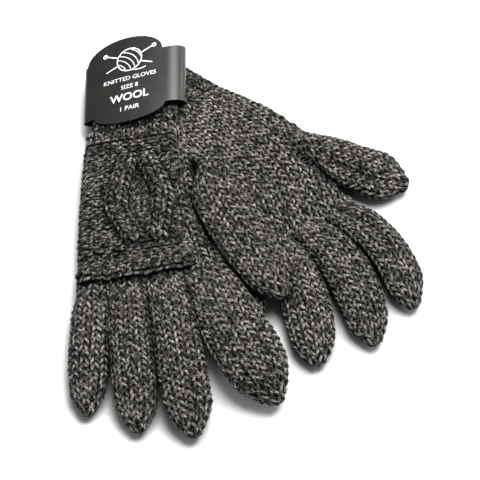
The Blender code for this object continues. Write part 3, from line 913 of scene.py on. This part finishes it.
def knit_panel(glove, hand):
    """The purl panel, with its free edge near the fingers rolled up a little."""
    p = np.linspace(0.0, 1.0, 110)[:, None]
    q = np.linspace(0.0, 1.0, 90)
    end = lerp(*PANEL_END, q)[None, :]
    vv = lerp(PANEL_START, end, p)
    near = lerp(0.07, 0.21, vv[:, :1])
    uu = lerp(near, 0.985, q[None, :])
    edge = smooth(np.minimum(q, 1.0 - q)[None, :] / 0.06)
    from_end = (vv - end) * hand.length
    from_start = (vv - PANEL_START) * hand.length
    roll = 1.5 * np.exp(-((from_end + 3.5) ** 2) / 26.0) - 0.9 * np.exp(-((from_end + 12.5) ** 2) / 16.0)
    roll = roll + 0.6 * np.exp(-((from_start - 2.0) ** 2) / 14.0)
    x = (uu - LEAF_MIDDLE[1]) * HAND_WIDTH
    y = (vv - LEAF_MIDDLE[0]) * hand.length
    leaf = (x / (LEAF_CLOSE + LEAF_BOW + 9.0)) ** 2 + (y / (LEAF_HALF + 5.0)) ** 2
    hollow = np.exp(-(np.maximum(leaf - 0.35, 0.0) ** 2) / 0.4)
    rise, puff, sink = (2.6, 1.9, 2.8) if glove.panel_up else (1.2, 0.3, 0.4)
    lift = rise * edge + roll * puff - sink * hollow
    grid, _ = back_point(glove, hand, vv, uu, lift)
    surface = Surface(grid, closed=False)
    if (surface.normals[50, 45, 2] > 0) != glove.panel_up:
        surface.normals *= -1.0
    bundle = Bundle()
    stitches = round(surface.girth.mean() / STITCH_WIDTH)
    depth = 0.95 if glove.panel_up else 0.6
    lay_fabric(bundle, surface, 0.0, surface.length, stitches, "purl", seed=23, depth=depth)
    bundle.add_sheet(surface.grid[::3, ::4] - surface.normals[::3, ::4] * 0.9, False)
    piece = bundle.make(f"{glove.side}_panel_knit", (PURLED, SHADE_SHEET))
    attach(stand_for(piece, f"{glove.side}_back_panel"), f"{glove.side}_glove")



def knit_leaf(glove, hand):
    """The leaf cable: two raised ribs, two stitches wide, together at the ends and bowed apart between."""
    bundle = Bundle()
    for side in (-1.0, 1.0):
        q = np.linspace(-1.0, 1.0, 90)
        bow = np.cos(np.pi / 2 * np.clip(q * 1.02, -1, 1)) ** 1.5
        centre = side * (LEAF_CLOSE + LEAF_BOW * bow)
        w = np.linspace(-1.0, 1.0, 31)
        crown = np.sqrt(np.maximum(1.0 - w**2 * 0.92, 0.0))
        ends = smooth((1.0 - np.abs(q)) / 0.12)
        x = centre[:, None] + w[None, :] * RIB_WIDTH / 2
        y = np.broadcast_to((q * LEAF_HALF)[:, None], x.shape)
        base, height = (3.3, 4.5) if glove.panel_up else (1.3, 1.2)
        lift = base + height * (crown[None, :] - 0.35) * lerp(0.4, 1.0, ends)[:, None]
        vv = LEAF_MIDDLE[0] + y / hand.length
        uu = LEAF_MIDDLE[1] + x / HAND_WIDTH
        grid, _ = back_point(glove, hand, vv, uu, lift)
        surface = Surface(grid, closed=False)
        if (surface.normals[45, 15, 2] > 0) != glove.panel_up:
            surface.normals *= -1.0
        thick = {"depth": 0.8 if glove.panel_up else 0.5, "wave": 0.1, "row_height": 3.9, "radius": 1.34}
        lay_fabric(bundle, surface, 0.0, surface.length, 2, seed=31, **thick)
        bundle.add_sheet(surface.grid[::3, ::3] - surface.normals[::3, ::3] * 0.9, False)
    piece = bundle.make(f"{glove.side}_cable_knit", (CABLED, SHADE_SHEET))
    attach(stand_for(piece, f"{glove.side}_leaf_cable"), f"{glove.side}_glove")


def joint_names():
    return {joint["name"]: joint for joint in frame["joints"]}


def knit_digit(glove, name):
    """A digit as two lengths of one knitted tube, each bending round one hinge."""
    digit = glove.digits[name]
    surface, before = digit_surface(glove, name)
    split = before + digit.knuckle * 0.5
    stitches = round(surface.girth_at(before + length(digit) * 0.4) / STITCH_WIDTH)
    seed = 40 + sum(ord(letter) for letter in glove.side + name)
    joints = joint_names()
    hand_body = f"{glove.side}_glove"
    rows = round((split - 1.0) / ROW_HEIGHT)
    split = 1.0 + rows * ROW_HEIGHT
    lower, upper = Bundle(), Bundle()
    lay_fabric(lower, surface, 1.0, split, stitches, seed=seed)
    lower.add_sheet(shade_sheet_grid(surface, 0.0, split + 2.5, SHADE_SHEET_INSET), True)
    lay_fabric(upper, surface, split, surface.length - 0.3, stitches, seed=seed + 1)
    upper.add_sheet(shade_sheet_grid(surface, split - 2.5, surface.length, SHADE_SHEET_INSET), True)
    low_piece = lower.make(f"{glove.side}_{name}_root_knit", (PLAIN, SHADE_SHEET))
    high_piece = upper.make(f"{glove.side}_{name}_tip_knit", (PLAIN, SHADE_SHEET))
    root, knuckle = f"{glove.side}_{name}_root", f"{glove.side}_{name}_knuckle"
    if root in joints:
        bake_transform(low_piece)
    else:
        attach(low_piece, hand_body)
    if knuckle in joints:
        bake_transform(high_piece)
    else:
        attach(high_piece, hand_body)
    for piece, end in ((low_piece, "lower"), (high_piece, "upper")):
        stand_for(piece, f"{glove.side}_{name}_{end}")


def knit_glove(glove):
    hand = hand_surface(glove)
    knit_hand(glove, hand)
    knit_cuff(glove)
    knit_panel(glove, hand)
    knit_leaf(glove, hand)
    for name in glove.digits:
        knit_digit(glove, name)


# ---------------------------------------------------------------- label

CARD = 0.5
BAND_HALF_HEIGHT = 20.4
BAND_ARCH_TOP = 13.6
BAND_ARCH_BOTTOM = 8.4
TOP_ARCH_SPAN = (0.02, 0.94)
BOTTOM_ARCH_SPAN = (0.13, 0.98)
BAND_LEFT, BAND_RIGHT = -34.4, 21.4
BAND_LOW, BAND_CREASE, BAND_HIGH, BAND_TURN = 0.0, 4.4, 14.3, 12.2


def band_frame():
    first, last = RIGHT.cuff
    top = (flat(first.thumb_side) + flat(first.little_side)) / 2
    bottom = (flat(last.thumb_side) + flat(last.little_side)) / 2
    side = unit(flat(first.thumb_side) - flat(first.little_side))
    return lerp(bottom, top, 0.66), side, unit(top - bottom)


def band_place(x, z, along):
    centre, side, way = band_frame()
    plan = centre + np.asarray(x)[..., None] * side + np.asarray(along)[..., None] * way
    return place(RIGHT, plan, np.asarray(z, float))


def face_height(t):
    return lerp(BAND_CREASE + 1.2, BAND_HIGH, np.sin(np.pi / 2 * np.clip(t, 0, 1)) ** 0.6)


def arch(t, span):
    """Height of a half-ellipse arch over a span of the face, from 0 to 1."""
    q = (t - span[0]) / (span[1] - span[0])
    return math.sqrt(max(0.0, 1.0 - (2.0 * q - 1.0) ** 2))


def band_path(face_steps=120, round_steps=28):
    """The card's section as (x, z, top arch, bottom arch), from the little side's lower fold round."""
    path = [(BAND_LEFT + 4, BAND_LOW, 0.0, 0.0), (BAND_LEFT + 0.15, BAND_CREASE - 0.2, 0.0, 0.0)]
    path.append((BAND_LEFT + 0.05, BAND_CREASE + 0.2, 0.0, 0.0))
    for i in range(face_steps + 1):
        t = i / face_steps
        x = lerp(BAND_LEFT + 0.6, BAND_RIGHT, t)
        path.append((x, float(face_height(t)), arch(t, TOP_ARCH_SPAN), arch(t, BOTTOM_ARCH_SPAN)))
    middle = (BAND_LOW + BAND_HIGH) / 2
    for i in range(1, round_steps + 1):
        angle = math.pi * (0.5 - i / round_steps)
        x = BAND_RIGHT + BAND_TURN * math.cos(angle)
        path.append((x, middle + (BAND_HIGH - middle) * math.sin(angle), 0.0, 0.0))
    return np.array(path)


def make_card():
    path = band_path()
    spots = path[:, :2]
    ahead, behind = np.roll(spots, -1, 0), np.roll(spots, 1, 0)
    tangent = (ahead - behind) / np.linalg.norm(ahead - behind, axis=1, keepdims=True)
    inward = np.stack([tangent[:, 1], -tangent[:, 0]], -1)
    rings = []
    top = BAND_HALF_HEIGHT + BAND_ARCH_TOP * path[:, 2]
    bottom = -BAND_HALF_HEIGHT - BAND_ARCH_BOTTOM * path[:, 3]
    for depth, along in ((0.0, top), (0.0, bottom), (CARD, bottom), (CARD, top)):
        spot = spots + inward * depth
        rings.append(band_place(spot[:, 0], spot[:, 1], along))
    rings = np.array(rings)
    count = len(path)
    vertices = rings.reshape(-1, 3) * MM
    faces = []
    for k in range(4):
        for i in range(count):
            j, m = (i + 1) % count, (k + 1) % 4
            faces.append((k * count + i, k * count + j, m * count + j, m * count + i))
    mesh = bpy.data.meshes.new("label_card_band")
    mesh.from_pydata([tuple(v) for v in vertices], [], faces)
    mesh.materials.append(card_material())
    mesh.update()
    mesh.shade_smooth()
    for edge in mesh.edges:
        apart = abs(edge.vertices[0] - edge.vertices[1])
        if apart not in (count, 3 * count):
            edge.use_edge_sharp = True
    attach(stand_for(add_object("label_card_band", mesh), "label_band"), "label")


def on_face(x, y, raised=0.18):
    """Points of the printed design on the card's face, x across and y up from its middle."""
    t = (np.asarray(x) - BAND_LEFT - 0.6) / (BAND_RIGHT - BAND_LEFT - 0.6)
    return band_place(x, face_height(t) + raised, y)


PRINT_X = -3.5  # the design's middle line on the face


def stroke(points, width):
    """A flat ribbon along a line of design points, as design quads."""
    points = np.asarray(points, float)
    tangent = np.gradient(points, axis=0)
    tangent /= np.maximum(np.linalg.norm(tangent, axis=1, keepdims=True), 1e-9)
    side = np.stack([-tangent[:, 1], tangent[:, 0]], -1) * width / 2
    left, right = points + side, points - side
    vertices = np.concatenate([left, right])
    n = len(points)
    faces = [(i, i + 1, n + i + 1, n + i) for i in range(n - 1)]
    return vertices, faces


def arc(centre, radius, start, stop, squash=1.0, steps=28):
    angle = np.radians(np.linspace(start, stop, steps))
    return np.stack([centre[0] + radius * np.cos(angle), centre[1] + radius * squash * np.sin(angle)], -1)


def inside(points, centre, radius):
    """The part of a line that lies inside a circle."""
    return points[np.linalg.norm(points - centre, axis=1) < radius]


def ornament():
    """A plain ball of yarn on two crossed needles, with a loose end."""
    middle = np.array((-0.5, 16.8))
    radius = 8.2
    lines = [(arc(middle, radius, 0, 360, steps=60), 0.75)]
    for shift in (-4.6, -2.3, 0.0, 2.3, 4.6):
        wound = arc(middle + (shift - 9.0, shift - 9.0), 13.0, 0, 90, steps=60)
        lines.append((inside(wound, middle, radius * 0.93), 0.55))
    for side in (-1, 1):
        foot, head = middle + (-side * 15.5, -6.0), middle + (side * 15.5, 6.4)
        way = unit(head - foot)
        lines.append((np.linspace(foot, middle - way * (radius + 0.7), 12), 0.8))
        lines.append((np.linspace(middle + way * (radius + 0.7), head, 12), 0.8))
        lines.append((arc(head + way, 1.1, 0, 360), 0.9))
    lines.append((arc(middle + (6.4, -7.4), 5.0, 200, 345, 0.3), 0.6))
    return lines


def text_mesh(words, size, bold):
    curve = bpy.data.curves.new("label_words", "FONT")
    curve.body = words
    curve.size = size
    curve.offset = bold
    curve.align_x = "CENTER"
    curve.resolution_u = 3
    carrier = add_object("label_words", curve)
    bpy.context.view_layer.update()
    mesh = bpy.data.meshes.new_from_object(carrier)
    vertices = np.array([v.co[:2] for v in mesh.vertices]).reshape(-1, 2)
    faces = [tuple(p.vertices) for p in mesh.polygons]
    bpy.data.objects.remove(carrier)
    bpy.data.meshes.remove(mesh)
    return vertices, faces


# The words on the card: their size, boldness and height on the face.
LABEL_LINES = (
    ("KNITTED GLOVES", 4.4, 0.02, 1.6),
    ("SIZE 8", 4.4, 0.02, -4.6),
    ("WOOL", 8.0, 0.16, -13.2),
    ("1 PAIR", 4.8, 0.02, -20.6),
)


def make_print():
    """The white print: ornament and generic words, laid on the card's curved face."""
    vertices, faces = [], []

    def add(spots, quads):
        start = len(vertices)
        laid = on_face(spots[:, 0], spots[:, 1])
        vertices.extend(tuple(v * MM) for v in laid)
        faces.extend(tuple(start + i for i in quad) for quad in quads)

    for line, width in ornament():
        spots, quads = stroke(line, width)
        add(spots + (PRINT_X, 0.0), quads)
    for words, size, bold, height in LABEL_LINES:
        spots, quads = text_mesh(words, size, bold)
        add(spots * (1.0, 0.94) + (PRINT_X, height), quads)
    mesh = bpy.data.meshes.new("label_print")
    mesh.from_pydata(vertices, [], faces)
    mesh.materials.append(ink_material())
    mesh.update()
    piece = add_object("label_print", mesh)
    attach(piece, "label")


# ---------------------------------------------------------------- stage, light and camera

CAMERA_HEIGHT = math.radians(65.0)
CAMERA_DISTANCE = 0.80
TARGET = Vector((-PAIR_MIDDLE[0] * MM, -PAIR_MIDDLE[1] * MM, 0.0))


FLOOR_HEIGHT = -0.0012


def make_stage():
    """A white floor with painted contact shadow where the gloves are near, that fades into the white
    behind.
    """
    mesh = bpy.data.meshes.new("floor")
    half = 4.0
    corners = ((-half, -half), (half, -half), (half, half), (-half, half))
    mesh.from_pydata([(x, y, FLOOR_HEIGHT) for x, y in corners], [], [(0, 1, 2, 3)])
    material, tree, shader = new_material("white_sweep")
    # Painted contact shadow: the floor's colour is darkened near the gloves.
    contact = node(tree, "ShaderNodeAmbientOcclusion", samples=8)
    contact.inputs["Distance"].default_value = 0.022
    painted_contact_shadow = node(tree, "ShaderNodeMix", data_type="RGBA")
    painted_contact_shadow.inputs[6].default_value = (0.05, 0.048, 0.046, 1.0)
    painted_contact_shadow.inputs[7].default_value = (0.93, 0.93, 0.93, 1.0)
    tree.links.new(contact.outputs["AO"], painted_contact_shadow.inputs[0])
    tree.links.new(painted_contact_shadow.outputs[2], shader.inputs["Base Color"])
    # Far from the gloves the sweep fades into the white behind it.
    reach = node(tree, "ShaderNodeVectorMath", operation="LENGTH")
    tree.links.new(node(tree, "ShaderNodeNewGeometry").outputs["Position"], reach.inputs[0])
    far = node(tree, "ShaderNodeMapRange", interpolation_type="SMOOTHSTEP")
    far.inputs["From Min"].default_value = 0.4
    far.inputs["From Max"].default_value = 1.1
    tree.links.new(reach.outputs["Value"], far.inputs["Value"])
    glow = node(tree, "ShaderNodeEmission")
    blend = node(tree, "ShaderNodeMixShader")
    tree.links.new(far.outputs["Result"], blend.inputs[0])
    tree.links.new(shader.outputs[0], blend.inputs[1])
    tree.links.new(glow.outputs[0], blend.inputs[2])
    tree.links.new(blend.outputs[0], tree.nodes["Material Output"].inputs["Surface"])
    shader.inputs["Roughness"].default_value = 0.8
    mesh.materials.append(material)
    add_object("floor", mesh)


def add_light(name, spot, target, size, power):
    data = bpy.data.lights.new(name, "AREA")
    data.shape = "SQUARE"
    data.size = size
    data.energy = power
    lamp = add_object(name, data)
    lamp.location = spot
    lamp.rotation_euler = (Vector(target) - Vector(spot)).to_track_quat("-Z", "Y").to_euler()


AMBIENT = 0.30


def light_scene():
    world = bpy.data.worlds.new("studio")
    bpy.context.scene.world = world
    world.use_nodes = True
    tree = world.node_tree
    background = tree.nodes["Background"]
    background.inputs["Color"].default_value = (1.0, 1.0, 1.0, 1.0)
    seen = node(tree, "ShaderNodeLightPath").outputs["Is Camera Ray"]
    strength = node(tree, "ShaderNodeMapRange")
    strength.inputs["To Min"].default_value = AMBIENT
    strength.inputs["To Max"].default_value = 1.0
    tree.links.new(seen, strength.inputs["Value"])
    tree.links.new(strength.outputs["Result"], background.inputs["Strength"])
    add_light("key", (0.20, 0.33, 1.10), (0.0, 0.0, 0.0), 0.70, 31.0)
    add_light("side", (0.85, 0.55, 0.42), (0.0, 0.0, 0.0), 0.35, 4.0)
    view = bpy.context.scene.view_settings
    view.view_transform = "Standard"
    view.look = "None"
    view.exposure = 0.0


def add_camera():
    data = bpy.data.cameras.new("camera")
    data.lens = 93.75
    data.sensor_width = 36.0
    data.clip_start = 0.01
    camera = add_object("camera", data)
    offset = Vector((0.0, -math.cos(CAMERA_HEIGHT), math.sin(CAMERA_HEIGHT))) * CAMERA_DISTANCE
    camera.location = TARGET + offset
    camera.rotation_euler = (-offset).to_track_quat("-Z", "Y").to_euler()
    bpy.context.scene.camera = camera


knit_glove(LEFT)
knit_glove(RIGHT)
make_card()
make_print()
make_stage()
light_scene()
add_camera()

bpy.context.view_layer.update()
